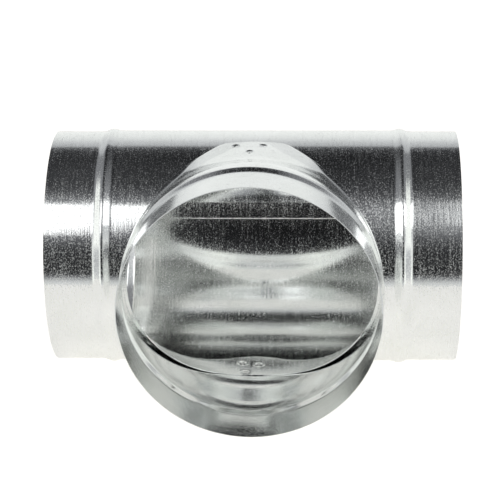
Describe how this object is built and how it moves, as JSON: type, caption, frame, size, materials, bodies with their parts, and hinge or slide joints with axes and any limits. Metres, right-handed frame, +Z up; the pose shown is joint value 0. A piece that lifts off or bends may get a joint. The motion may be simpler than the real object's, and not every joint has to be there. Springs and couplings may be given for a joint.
{
  "type": "duct connector tee",
  "caption": "Round sheet metal duct tee: a straight run with a beaded male spigot at each end and a wider beaded branch collar spot welded to its side.",
  "frame": {"origin": "where the axis of the run and the axis of the branch cross", "axes": "+X along the run, -Y out of the branch's mouth, +Z up as the picture shows the tee"},
  "size_m": [0.258, 0.2013, 0.1624],
  "materials": {
    "galvanized_sheet": "bright zinc coating with a fine rolled grain"
  },
  "bodies": {
    "root": {"run_tube": "galvanized_sheet", "branch_collar": "galvanized_sheet"}
  },
  "joints": []
}
